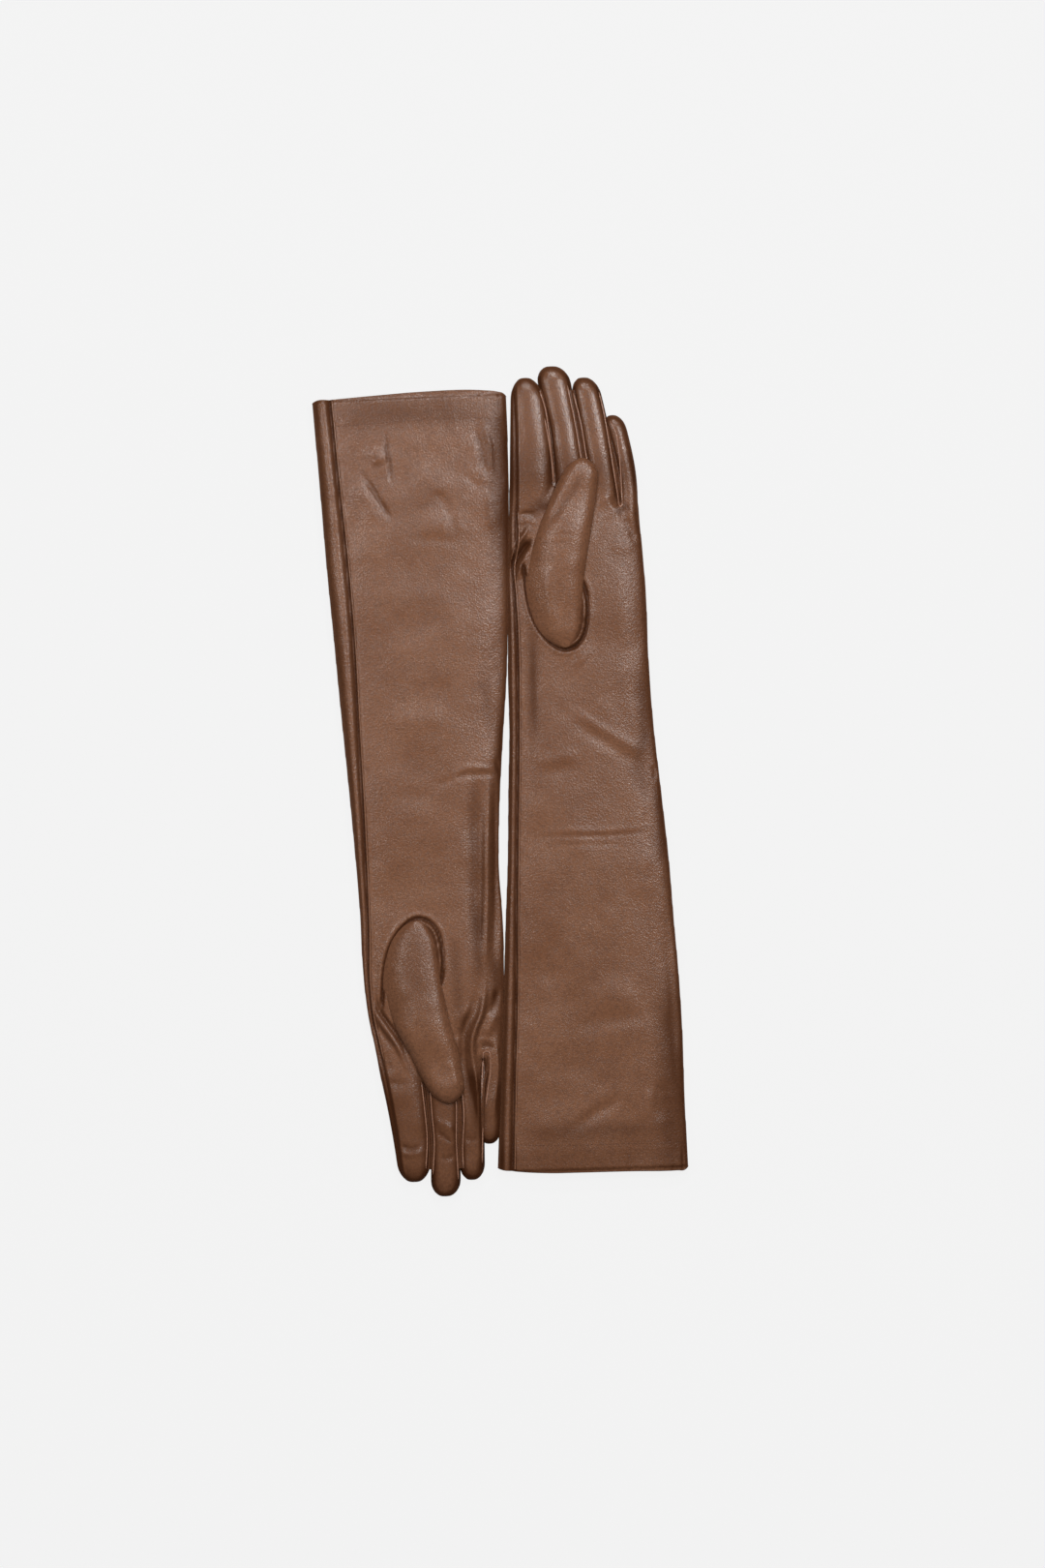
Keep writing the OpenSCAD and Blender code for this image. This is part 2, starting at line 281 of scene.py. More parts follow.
# The outlines that the photo shows: thumb side and little finger's side of the arm and palm
EDGES = {
    "left": ([(0, -62.3), (70, -58), (115, -55.4), (160, -52.9), (200, -50.4), (250, -48.5), (290, -46.8),
              (315, -46.8), (355, -46), (400, -44.4), (430, -43.1), (446, -42.3)],
             [(0, 62.4), (45, 61.3), (90, 61), (135, 59.2), (155, 57.9), (200, 55.4), (245, 51.6),
              (290, 47.7), (330, 45.8), (375, 45.2), (400, 43.9), (420, 42.6), (446, 41.4)]),
    "right": ([(0, -63.2), (65, -60.3), (110, -58.4), (155, -55.9), (200, -53.5), (245, -50.8),
               (290, -48.4), (330, -46.7), (375, -46.1), (398, -44.5), (420, -41.1), (446, -37)],
              [(0, 63.8), (25, 63.7), (70, 62.7), (100, 61.4), (150, 58.6), (180, 56.6), (226, 51.9),
               (270, 47.8), (314, 45.8), (340, 46.8), (380, 46), (402, 44.8), (446, 42)]),
}
# How far the hem stands back from a straight line, across the arm
HEM = {
    "left": [(-62.3, 3), (-60, 2.1), (-52.7, 1), (-29.6, -0.8), (-6.4, -1), (24.4, -1.1), (55, -1.5),
             (60, -1.3), (62.4, 0.6)],
    "right": [(-63.4, 1.4), (-61, 0.2), (-50.4, -0.3), (-22.3, -1.6), (10, -2.9), (48.6, -2.2), (58.3, -1),
              (61.8, 0.1), (63.8, 2)],
}
# Both edges of each finger, and how far it is lifted over its neighbours
FINGER_EDGES = {
    "left": [([(440, -42.6), (461, -41.8), (498, -40.3), (517, -39.5)],
              [(440, -11.5), (460, -12.6), (485, -14.2), (500, -16.3), (517, -20.5)], 1),
             ([(440, -13.4), (470, -15), (485, -16.4), (502, -20), (524, -24)],
              [(440, 10.6), (464, 7.6), (485, 4.4), (524, -1.4)], -0.2),
             ([(440, 9.8), (464, 6.8), (485, 3.6), (516, -1.2)],
              [(440, 30.5), (459, 27.4), (484, 23.8), (516, 17.4)], 0.5),
             ([(432, 31), (459, 26.8), (475, 23.4), (491, 19)],
              [(432, 42), (446, 41.4), (458, 40.3), (466, 39), (478, 36.6), (491, 33.5)], -0.8)],
    "right": [([(425, -40.5), (446, -37), (471, -33), (493, -30.2), (511, -28.5)],
               [(440, -8.4), (460, -7.2), (485, -6.2), (511, -8)], 0),
              ([(440, -8.8), (463, -8), (485, -7), (521, -8.5)],
               [(440, 12.6), (461, 13.6), (486, 12.7), (521, 11.8)], 0.8),
              ([(440, 12), (467, 12.6), (492, 11.6), (511, 11)],
               [(440, 32), (455, 29.8), (474, 29), (511, 27.8)], 0),
              ([(432, 33), (449, 28.4), (488, 24.5)],
               [(432, 42.6), (449, 41.8), (470, 40.4), (488, 38.6)], -1.2)],
}
# The two seams on the palm face of each finger; None where there is no seam
FINGER_SEAMS = {
    "left": [(None, [(446, -13.2), (460, -14), (483, -15.7), (497, -17.6), (508, -20.6)]),
             ([(450, -13), (470, -15), (490, -18)], [(446, 7.8), (464, 5), (485, 2), (511, -2.5)]),
             ([(446, 11.4), (462, 9), (484, 6), (508, 1)],
              [(434, 28.9), (458, 25.6), (479, 22.7), (496, 20), (506, 17.8)]),
             ([(434, 31.2), (455, 30.6), (469, 29.6), (481, 27.6), (487, 24.6)], None)],
    "right": [(None, [(446, -11), (460, -10), (485, -9), (502, -10.6)]),
              ([(446, -5.6), (466, -5), (485, -4.2), (506, -6)],
               [(446, 10.4), (461, 11), (486, 10), (510, 10.2)]),
              ([(446, 14.8), (467, 15.8), (492, 14), (503, 14)],
               [(432, 29.8), (449, 28.2), (474, 27.6), (500, 26.2)]),
              ([(432, 34.7), (443, 33.9), (449, 32.7), (462, 30.4)], None)],
}
# The side seam along the palm face
SIDE_SEAM = {
    "left": [(0, -52.2), (67, -49.2), (102, -47.2), (183, -44.6), (240, -42.4), (298, -40.4), (355, -39.8),
             (376, -40.6), (394, -41.4), (410, -38.2), (430, -38), (448, -37.6), (486, -37), (512, -37.5)],
    "right": [(0, -51.2), (49, -48.4), (92, -45.5), (154, -42.7), (216, -41.9), (280, -41.2), (343, -41.4),
              (382, -42.4), (401, -41.2), (425, -37), (450, -32.8), (475, -29.6), (508, -26.5)],
}
BODY_HALF_HEIGHT = [(-8, 6.6), (0, 6.6), (30, 6.8), (200, 6.6), (330, 6.5), (400, 6.5), (425, 6.2),
                    (446, 4.6)]
BODY_POINTS = 96               # points round a section of the arm and palm
FINGER_POINTS = 48
FINGER_ROUND = (14.5, 12.5, 12.0, 9.5)         # how long the rounding of each fingertip is
FINGER_TOP = [(390, 8), (415, 11.2), (440, 12.2), (560, 12.0)]
FINGER_LOW = 0.5
LITTLE_LOWER = 0.6             # how much lower the little finger's top is


def superellipse(xl, xr, zl, zh, n, p=2.6, q=2.2, q_low=3.2):
    """Points of a soft flat section, as (x, z)."""
    t = np.linspace(0, 2 * math.pi, n, endpoint=False)
    c, s = np.cos(t), np.sin(t)
    x = (xl + xr) / 2 + (xr - xl) / 2 * np.sign(c) * np.abs(c) ** (2 / p)
    q = np.where(s >= 0, q, q_low)
    z = (zl + zh) / 2 + (zh - zl) / 2 * np.sign(s) * np.abs(s) ** (2 / q)
    return x, z


def ring_faces(rings, n, base=0):
    """The quads between rings of n points each, numbered from base."""
    return [(a + (i + 1) % n, a + i, a + n + i, a + n + (i + 1) % n)
            for a in range(base, base + (rings - 1) * n, n) for i in range(n)]


def loft(sections):
    """A closed mesh through sections (x, y, z): arrays of the same length, with one y for each."""
    n = len(sections[0][0])
    faces = ring_faces(len(sections), n)
    v = np.concatenate([np.stack([x, np.full(n, y), z], 1) for x, y, z in sections])
    for k, flip in ((0, False), (len(sections) - 1, True)):
        hub = len(v)
        v = np.concatenate([v, v[k * n:(k + 1) * n].mean(0)[None]])
        for i in range(n):
            j = (i + 1) % n
            faces.append((k * n + j, k * n + i, hub) if flip else (k * n + i, k * n + j, hub))
    return v, faces


def body_section(y, inset=0.0, right=None):
    """A section of the arm or palm, as (x, z)."""
    half, hh = float(curve(PLAIN_HALF, y)), float(curve(BODY_HALF_HEIGHT, y))
    far = half if right is None else right
    return superellipse(-half + inset, far - inset, inset, 2 * hh - inset, BODY_POINTS, 3.0, 2.1)


def plain_body(y0, y1, right=None):
    """Sections of the arm and palm; right narrows them beside the little finger's root."""
    sections = []
    for y in spaced(y0, y1, 9.0):
        x, z = body_section(y, right=right)
        sections.append((x, float(y), z))
    return sections


def plain_sides(f):
    """The edges of a straight finger: only the sides next to other fingers stand back."""
    return PLAIN_EDGES[f] + (HALF_GAP if f > 0 else 0), PLAIN_EDGES[f + 1] - (HALF_GAP if f < 3 else 0)


def plain_finger(f, y0, inset=0.0):
    left, right = plain_sides(f)
    tip = PLAIN_TIPS[f] - inset
    r = FINGER_ROUND[f]
    ys = list(np.arange(y0, tip - r, 7.0)) + [tip - r * math.cos(a) for a in np.linspace(0, 1.5, 9)]
    middle = (left + right) / 2
    out = []
    for y in ys:
        share = math.sqrt(max(1e-3, 1 - max(0.0, (r - (tip - y)) / r) ** 2))
        w = ((right - left) / 2 - inset) * share
        top = float(curve(FINGER_TOP, y)) - (LITTLE_LOWER if f == 3 else 0)
        h = ((top - FINGER_LOW) / 2 - inset) * (0.2 + 0.8 * share)
        zc = (top + FINGER_LOW) / 2 - (1 - share)
        x, z = superellipse(middle - w, middle + w, zc - h, zc + h, FINGER_POINTS, 2.3, 2.0, 2.4)
        out.append((x, float(y), z))
    return out


def voxel_union(parts, size):
    """One skin round overlapping closed meshes, as vertices and quads."""
    verts, faces, base = [], [], 0
    for v, f in parts:
        verts.append(v)
        faces += [tuple(i + base for i in face) for face in f]
        base += len(v)
    mesh = bpy.data.meshes.new("union")
    mesh.from_pydata(np.concatenate(verts).tolist(), [], faces)
    obj = bpy.data.objects.new("union", mesh)
    bpy.context.collection.objects.link(obj)
    mod = obj.modifiers.new("remesh", "REMESH")
    mod.mode = "VOXEL"
    mod.voxel_size = size
    done = obj.evaluated_get(bpy.context.evaluated_depsgraph_get()).to_mesh()
    v = np.empty(len(done.vertices) * 3)
    done.vertices.foreach_get("co", v)
    loops = np.empty(len(done.loops), int)
    done.loops.foreach_get("vertex_index", loops)
    quads = loops.reshape(-1, 4)
    obj.evaluated_get(bpy.context.evaluated_depsgraph_get()).to_mesh_clear()
    bpy.data.objects.remove(obj)
    bpy.data.meshes.remove(mesh)
    return v.reshape(-1, 3), quads


def relax(v, quads, rounds, weight):
    """Each vertex moves towards the mean of its neighbours, by weight."""
    e = np.concatenate([quads[:, [0, 1]], quads[:, [1, 2]], quads[:, [2, 3]], quads[:, [3, 0]]])
    count = np.bincount(e.ravel(), minlength=len(v))[:, None]
    for _ in range(rounds):
        total = np.stack([np.bincount(e[:, 0], v[e[:, 1], k], len(v))
                          + np.bincount(e[:, 1], v[e[:, 0], k], len(v)) for k in range(3)], 1)
        v = v + (total / count - v) * weight
    return v


def kept(v, quads, keep):
    """Only the faces to keep, and the vertices that they use."""
    quads = quads[keep]
    used = np.unique(quads)
    index = np.full(len(v), -1)
    index[used] = np.arange(len(used))
    return v[used], index[quads], used


VOXEL = 1.0
RELAX_ROUNDS = 9
plain_parts = [loft(plain_body(-6, LITTLE_WEB)), loft(plain_body(-6, WEB, right=PLAIN_EDGES[3] - HALF_GAP))]
plain_parts += [loft(plain_finger(f, 392)) for f in range(4)]
PLAIN_V, PLAIN_Q = voxel_union(plain_parts, VOXEL)
hand_share = 0.4 + 0.15 * smooth((PLAIN_V[:, 1] - 395) / 25)
PLAIN_V = relax(PLAIN_V, PLAIN_Q, RELAX_ROUNDS, hand_share[:, None])
PLAIN_V, PLAIN_Q, _ = kept(PLAIN_V, PLAIN_Q, PLAIN_V[PLAIN_Q][:, :, 1].mean(1) > 0)
edge_count = np.bincount(PLAIN_Q.ravel(), minlength=len(PLAIN_V))
hem_row = (edge_count < 4) & (PLAIN_V[:, 1] < 2)
PLAIN_V[hem_row, 1] = 0.0


def soft_noise(x, y, size, seed):
    """Smooth noise in -1 to 1 over the plan."""
    grid = np.random.default_rng(seed).uniform(-1, 1, (64, 64))
    gx, gy = x / size + 20.3, y / size + 3.7
    i, j = np.floor(gx).astype(int), np.floor(gy).astype(int)
    u, w = smooth(gx - i), smooth(gy - j)
    g = lambda a, b: grid[a % 64, b % 64]
    return (g(i, j) * (1 - u) + g(i + 1, j) * u) * (1 - w) + (g(i, j + 1) * (1 - u) + g(i + 1, j + 1) * u) * w


def stroke(x, y, points):
    """Distance from each plan point to a line, and how far along it the nearest place is, 0 to 1."""
    pts = np.array(points, float)
    seg = np.diff(pts, axis=0)
    length = np.hypot(seg[:, 0], seg[:, 1])
    start = np.concatenate([[0], np.cumsum(length)])
    best = np.full(x.shape, 1e9)
    along = np.zeros(x.shape)
    for k in range(len(seg)):
        t = np.clip(((x - pts[k, 0]) * seg[k, 0] + (y - pts[k, 1]) * seg[k, 1]) / length[k] ** 2, 0, 1)
        d = np.hypot(x - pts[k, 0] - t * seg[k, 0], y - pts[k, 1] - t * seg[k, 1])
        near = d < best
        best = np.where(near, d, best)
        along = np.where(near, (start[k] + t * length[k]) / start[-1], along)
    return best, along


def smooth_line(points):
    """A finer, rounder line through a few points."""
    p = np.array(points, float)
    for _ in range(3):
        q = [p[0]]
        for a, b in zip(p, p[1:]):
            q += [a * 0.75 + b * 0.25, a * 0.25 + b * 0.75]
        p = np.array(q + [p[-1]])
    return p


# The groove in the palm that the thumb rises from, and the roll of leather beside the thumb
OVAL = [(-35, 400), (-33.8, 388), (-32.7, 374), (-29, 359), (-22.6, 348.2), (-15.4, 341.2), (-9, 338.7),
        (-3, 340.2), (2.3, 345), (5.2, 352), (6.4, 362), (6.4, 371), (5.4, 379), (2, 388)]
ROLL = [(-8, 341.5), (-1, 344), (2.5, 350), (4.2, 357), (5, 366), (5.2, 376)]

# Soft folds and swells: points, height (a valley is negative), width, and how much shade is painted along it
LEFT_FOLDS = [
    # the pocket where the thumb leaves the palm
    ([(-42, 391), (-39.5, 398), (-34.5, 405), (-28, 413)], -3.2, 1.9, 0.9),
    ([(-44, 388), (-42.5, 399), (-38.5, 407.5), (-33, 415), (-28, 424)], 1.7, 1.4, 0),
    ([(-39, 384), (-36.5, 394), (-32, 402)], 1.3, 1.3, 0),
    ([(-38, 427), (-31, 429), (-24, 427)], -0.9, 1.5, 0.15),
    ([(-37, 422), (-31, 424.5), (-24, 421)], 0.6, 1.6, 0),
    # below the little finger's crotch
    ([(30.5, 430), (31, 425), (32, 420)], 0.35, 2, 0),
    ([(31, 426), (36, 418), (39, 406)], -0.5, 2.4, 0.08),
    ([(25, 427), (17, 419), (11, 410)], -0.5, 2.8, 0.03),
    ([(27, 428), (22, 433), (20, 441)], 0.4, 2.2, 0),
    ([(22, 410), (30, 405), (40, 404)], 0.35, 4.5, 0),
    ([(6, 331), (1, 335), (-4, 336)], 0.7, 7, 0),
    ([(28, 400), (30, 370), (30, 330)], 0.45, 6, 0),
    # the arm
    ([(-16, 306), (14, 287), (30, 277), (47, 267)], 0.45, 3.4, 0),
    ([(-8, 294), (14, 278), (42, 260)], -0.45, 4.2, 0),
    ([(-34, 266), (-16, 269), (2, 271)], 0.45, 4.2, 0),
    ([(-34, 258), (-14, 260), (6, 264)], -0.35, 4, 0),
    ([(-37, 217), (-14, 218.4), (12, 217.2), (34, 218.6), (50, 220)], -0.25, 1.6, 0.12),
    ([(-36, 220.4), (-10, 221.6), (16, 220.6), (49, 223.2)], 0.22, 2.2, 0),
    ([(-24, 212), (2, 212), (30, 211)], -0.2, 2, 0),
    ([(46, 263), (48, 258), (47, 252)], -0.5, 1.8, 0),
    ([(-28, 352), (-29.5, 315), (-31, 262)], -0.4, 5, 0.22),
    ([(-24, 165), (-26, 140), (-26, 112)], -0.55, 7, 0),
    ([(-12, 94), (14, 97), (46, 99)], -0.6, 6, 0),
    ([(-10, 110), (14, 114), (40, 112)], 0.4, 8, 0),
    ([(-19, 22), (-4, 33), (10, 41), (24, 49)], -0.9, 4, 0.05),
    ([(46, 60), (46, 46), (43, 28)], -0.7, 5, 0.05),
    ([(34, 30), (36, 42), (40, 54)], 0.4, 4, 0),
    ([(51, 180), (54, 120), (56, 40)], -0.45, 3, 0.05),
    # painted shade, level with the rest
    ([(-62, 27), (0, 25), (62, 27)], 0, 9, 0.4),
    ([(52, -25), (52, 70), (49, 150)], 0, 13, 0.5),
    ([(50, 190), (50, 225), (48, 262)], 0, 6, 0.45),
    ([(42, 262), (41, 295), (39, 330)], 0, 6, 0.45),
    ([(-30, 275), (-31, 320), (-29, 366)], 0, 4.5, 0.4),
    ([(-49, 245), (-48, 270), (-47, 295)], 0, 3, 0.4),
    ([(-36, 430), (-12, 434), (12, 438)], 0, 7, 0.7),
    ([(24, 425), (31, 430), (38, 433)], 0, 4, 0.5),
    ([(39, 235), (37, 262), (38, 290)], 0, 7, 0.3),
]
RIGHT_FOLDS = [
    # the pocket and the roll that runs from it under the thumb
    ([(-42.6, 380), (-40.8, 396), (-34.8, 407.5), (-26, 420), (-20, 435), (-14.5, 447)], 1.2, 1.7, 0),
    ([(-44, 401), (-40, 407), (-34, 414), (-28, 424)], -0.7, 2.4, 0.12),
    ([(-39.5, 386), (-36.8, 398), (-31, 406.5), (-22.5, 419), (-16.5, 433)], -1.6, 1.3, 0.45),
    ([(-36, 424), (-33, 432), (-31, 441)], -0.5, 3, 0),
    # the long fold to the ring finger, and the hollow over the little finger's crotch
    ([(42, 240), (39.3, 281), (38, 305), (36.6, 331), (34, 363), (32.5, 392)], 1.8, 3, 0),
    ([(33, 372), (32, 399), (24.3, 415), (22.4, 424), (24.6, 441), (26, 458), (25.8, 492)], 2.6, 2.2, 0),
    ([(27, 380), (26, 396), (18.5, 412), (16.5, 426), (19, 445), (20, 470)], -1.6, 2.6, 0.35),
    ([(37, 421), (39.6, 430), (39.8, 443), (36.5, 458), (34.5, 476)], 1.1, 1.5, 0),
    ([(28, 426), (33, 422.5), (38.5, 427)], -0.5, 2.2, 0.55),
    ([(31, 419), (35, 411), (40, 402)], 0.9, 3.6, 0),
    ([(34, 235), (31.5, 290), (30.5, 330), (27.5, 372)], -1.2, 5, 0.40),
    ([(46, 240), (43.5, 300), (41.5, 345), (39, 385)], -1, 3, 0.30),
    ([(42, 385), (39.5, 395), (35, 405)], -0.8, 2.6, 0.12),
    ([(10, 410), (19.7, 402), (28, 396)], 0.7, 4, 0),
    ([(8, 418), (14, 416), (19, 412)], -0.5, 3, 0),
    ([(25.5, 425), (27, 421), (31, 419), (36, 421), (38, 426)], 0.35, 1.6, 0),
    # the fingertips
    ([(-28, 485), (-20, 489), (-12, 486)], -0.5, 1.6, 0.35),
    ([(-28, 490), (-19, 493.5), (-12, 490)], 0.5, 2, 0),
    ([(-34, 443), (-27, 447), (-19, 444)], -0.4, 2.6, 0.2),
    ([(-3, 477), (3, 482), (9, 487)], -0.6, 1.8, 0.35),
    ([(-3, 471), (3, 474), (10, 479)], 0.6, 2.4, 0),
    ([(-2, 494), (4, 496.5), (9, 493)], -0.4, 1.8, 0.25),
    ([(15, 482), (20, 485), (25, 482)], -0.4, 2, 0.2),
    # the arm
    ([(17, 247), (23, 244.6), (28.7, 241.8), (38, 243.2), (48, 244)], 0.35, 1.8, 0),
    ([(14, 250.5), (26, 247), (38, 247.3), (49, 248)], -0.45, 2.2, 0.06),
    ([(6, 254), (14, 251), (20, 249.5)], -0.4, 2.6, 0),
    ([(46, 236), (48.5, 243), (49, 250)], -0.6, 1.6, 0),
    ([(-24, 262), (-8, 258), (10, 262)], -0.4, 6, 0),
    ([(-30, 205), (-4, 210), (20, 204)], 0.4, 8, 0),
    ([(-24, 140), (0, 150), (24, 142)], -0.4, 9, 0),
    # the cuff
    ([(-34, 46), (-26, 58), (-20.5, 68.4), (-12, 84)], -1, 1.5, 0.35),
    ([(-40, 50), (-30, 67), (-21, 84)], 1, 5, 0),
    ([(-16, 20), (-14.5, 40), (-12.6, 60)], -0.9, 1.4, 0.35),
    ([(-25, 30), (-23, 37), (-19, 44)], 0.9, 5, 0),
    ([(46, 16), (52, 32.8), (51.6, 42), (52.4, 58)], 0.7, 1.8, 0),
    ([(41, 20), (47, 36), (47.5, 54)], -0.7, 2.8, 0.3),
    ([(-2, 50), (10, 56), (20, 66)], 1, 9, 0),
    ([(2, 79), (13, 83), (27, 84)], 0.6, 8, 0),
    ([(26, 74), (30, 84), (31, 92)], 0.4, 3.6, 0),
    ([(14, 60), (22, 72), (25, 84)], -0.5, 3, 0),
    ([(33, 50), (40, 58), (46, 60)], -0.5, 3, 0),
    ([(45, 47), (47.5, 54), (47, 60)], 0.35, 3, 0),
    ([(49, 62), (50, 75), (49, 90)], 0.4, 2.8, 0),
    ([(-6, 92), (14, 93), (34, 97)], -0.4, 4, 0),
    ([(-40, 92), (-28, 100), (-14, 104)], 0.35, 6, 0),
    # painted shade, level with the rest
    ([(-62, 13), (0, 10), (64, 15)], 0, 13, 0.3),
    ([(31, 325), (29, 360), (30, 392)], 0, 6.5, 0.5),
    ([(40, 360), (40, 385), (38, 406)], 0, 5, 0.5),
    ([(51, 200), (50.5, 235), (49, 268)], 0, 5, 0.45),
    ([(41, 175), (42, 195), (42, 220)], 0, 6, 0.25),
    ([(22, 432), (25, 460), (25, 492)], 0, 7, 0.45),
    ([(14, 345), (15, 385), (16, 425)], 0, 6, 0.35),
    ([(58, -15), (58, 60), (54, 140)], 0, 12, 0.55),
]
FOLDS = {"left": LEFT_FOLDS, "right": RIGHT_FOLDS}
# Size, height and seed of the leather's softness
SWELLS = ((46.0, 0.75, 5), (21.0, 0.42, 6), (9.0, 0.15, 7))


def folded(x, y, folds):
    """The height and the painted shade that a list of folds adds at plan points."""
    z, painted_shade = np.zeros_like(x), np.zeros_like(x)
    for points, height, width, shade in folds:
        line = smooth_line(points)
        lo, hi = line.min(0) - 3.2 * width, line.max(0) + 3.2 * width
        near = (x > lo[0]) & (x < hi[0]) & (y > lo[1]) & (y < hi[1])
        d, t = stroke(x[near], y[near], line)
        fade = smooth(t * 3) * smooth((1 - t) * 3)
        z[near] += fade * height * bell(d, width)
        painted_shade[near] += fade * shade * bell(d, 0.7 * width)
    return z, painted_shade


def side_seam(x, y, side):
    """The side seam: a soft roll outside it, a step down into a narrow valley, and a thin lip on the palm."""
    xs = curve(SIDE_SEAM[side], y)
    d = x - xs
    on_finger = smooth((y - 425) / 15)
    depth = 1.9 - 1.2 * on_finger
    slope = np.where(d < 0, 2.6 - 1.5 * on_finger, 0.85)
    z = -depth * bell(d, slope) + (0.45 - 0.2 * on_finger) * bell(d - 2.1, 0.9)
    # painted shade in the seam's valley
    painted_shade = (0.6 - 0.2 * on_finger) * bell(d + 0.2, np.where(d < 0, 1.2, 0.6))
    edge = curve(EDGES[side][0], np.minimum(y, 446))
    width = np.maximum(xs - edge, 2.5)
    across = np.clip((xs - x) / width, 0, 1)
    z += np.clip(width / 8, 0.2, 1) * 1.3 * np.sin(math.pi * across) * (1 - on_finger)
    return z, painted_shade


def relief(x, y, u, side):
    """How far the palm face stands up at plan points, and how much shade is painted on its leather, 0 to 1.
    """
    other = 4 if side == "right" else 0
    z = sum(height * soft_noise(x, y, size, seed + other) for size, height, seed in SWELLS)
    z *= smooth((1 - np.abs(u)) * 5) * smooth((430 - y) / 60) * 0.75 + 0.25
    seam, painted_shade = side_seam(x, y, side)
    z += seam
    # the hem: painted shade darker towards its edge, with irregular upright puckers
    band = smooth((26 - y) / 18)
    pucker = soft_noise(x * 3.2, y * 0.35, 5.0, 3) + 0.6 * soft_noise(x * 3.2, y * 0.5, 9.0, 8)
    much = 1.0 if side == "left" else 0.35
    z += 0.16 * much * pucker * smooth((20 - y) / 14) + 0.12 * smooth((18.5 - y) / 6)
    painted_shade += much * (0.22 * band + 0.08 * np.clip(pucker, 0, 1) * smooth((20 - y) / 12))
    if side == "right":        # the crumpled cuff
        crumple = 0.30 * soft_noise(x + 0.4 * y, y - 0.3 * x, 13.0, 31) + 0.10 * soft_noise(x, y, 6.0, 32)
        z += crumple * smooth((y - 8) / 14) * smooth((98 - y) / 22)
    # painted shade where the leather folds round the sides of the arm and palm
    painted_shade += 0.15 * smooth((np.abs(u) - 0.84) / 0.16) * smooth((446 - y) / 20)
    # the edge of the hem turns in
    z -= 0.9 * smooth((1.6 - y) / 1.6)
    # the groove that the thumb rises from, with painted shade in it, and the roll beside it
    d, t = stroke(x, y, smooth_line(OVAL))
    fade = smooth(t * 14) * smooth((1 - t) * 14)
    z += fade * (-1.5 * bell(d, 1.0) + 0.35 * bell(d - 2.4, 1.4))
    painted_shade += fade * 0.85 * bell(d, 0.9)
    d, t = stroke(x, y, smooth_line(ROLL))
    z += 2.1 * bell(d, 1.5) * smooth(t * 5) * smooth((1 - t) * 5)
    on_fingers = smooth((y - 440) / 20)
    z += on_fingers * (0.4 if side == "right" else 0.15) * soft_noise(x, y, 10.0, 41)
    # painted shade over the whole left glove, more over its palm and at its fingers' roots
    if side == "left":
        palm_painted_shade = 0.10 * smooth((y - 300) / 60) * smooth((440 - y) / 30)
        painted_shade += 0.06 + palm_painted_shade + 0.4 * bell(y - 455, 14)
    fold_z, fold_painted_shade = folded(x, y, FOLDS[side])
    return z + fold_z, np.clip(painted_shade + fold_painted_shade, 0, 1)


def finger_at(x):
    return np.clip(np.searchsorted(np.array(PLAIN_EDGES[1:4], float), x), 0, 3)


def shaped(p, side, inner=False):
    """The plain pattern's points laid out as one of the two gloves, and the shade painted on the leather
    there.
    """
    x, y, z = p[:, 0], p[:, 1], p[:, 2]
    half = curve(PLAIN_HALF, y)
    u = np.clip(x / half, -1, 1)
    left, right = (curve(t, y) for t in EDGES[side])
    xb = (left + right) / 2 + x / half * (right - left) / 2
    yb = y + curve(HEM[side], xb) * smooth(1 - y / 70)
    xf, yf, lift = np.zeros_like(x), np.zeros_like(x), np.zeros_like(x)
    f_of = finger_at(x)
    uf = np.zeros_like(x)
    for f in range(4):
        m = f_of == f
        lo, hi = plain_sides(f)
        uf[m] = (x[m] - (lo + hi) / 2) / ((hi - lo) / 2)
        yy = WEB + (y[m] - WEB) * (TIPS[side][f] - WEB) / (PLAIN_TIPS[f] - WEB)
        yf[m] = np.where(y[m] > WEB, yy, y[m])
        a, b, up = FINGER_EDGES[side][f]
        el, er = curve(a, yf[m]), curve(b, yf[m])
        xf[m] = (el + er) / 2 + uf[m] * (er - el) / 2
        lift[m] = up
    s = smooth((y - 426) / 30)
    out_x = xb * (1 - s) + xf * s
    out_y = yb * (1 - s) + yf * s
    top = smooth((z - 6.5) / 3.5)
    rise, painted_shade = relief(out_x, out_y, u, side)
    if inner:                  # the lining stays under every fold
        rise = np.minimum(rise, 0) * 1.3 - 0.4
        top = smooth((z - 5.0) / 2.0)
    out_z = z + lift * s + rise * top
    # the back rests on the table
    out_z = np.maximum(out_z, 0.0)
    # painted shade on the fingers: towards their sides, over all of the right glove's fingers, and near their
    # tips
    shade = 0.20 * smooth((np.abs(uf) - 0.35) / 0.65) + (0.30 if side == "right" else 0.0)
    shade += 0.14 * smooth((y - np.array(PLAIN_TIPS)[f_of] + 18) / 12)
    painted_shade = painted_shade * top + s * shade
    return np.stack([out_x, out_y, out_z], 1), np.clip(painted_shade, 0, 1)


def normals_of(v, quads):
    """Area-weighted vertex normals."""
    a = np.cross(v[quads[:, 2]] - v[quads[:, 0]], v[quads[:, 3]] - v[quads[:, 1]])
    n = np.stack([sum(np.bincount(quads[:, k], a[:, c], len(v)) for k in range(4)) for c in range(3)], 1)
    return n / np.maximum(np.linalg.norm(n, axis=1, keepdims=True), 1e-12)


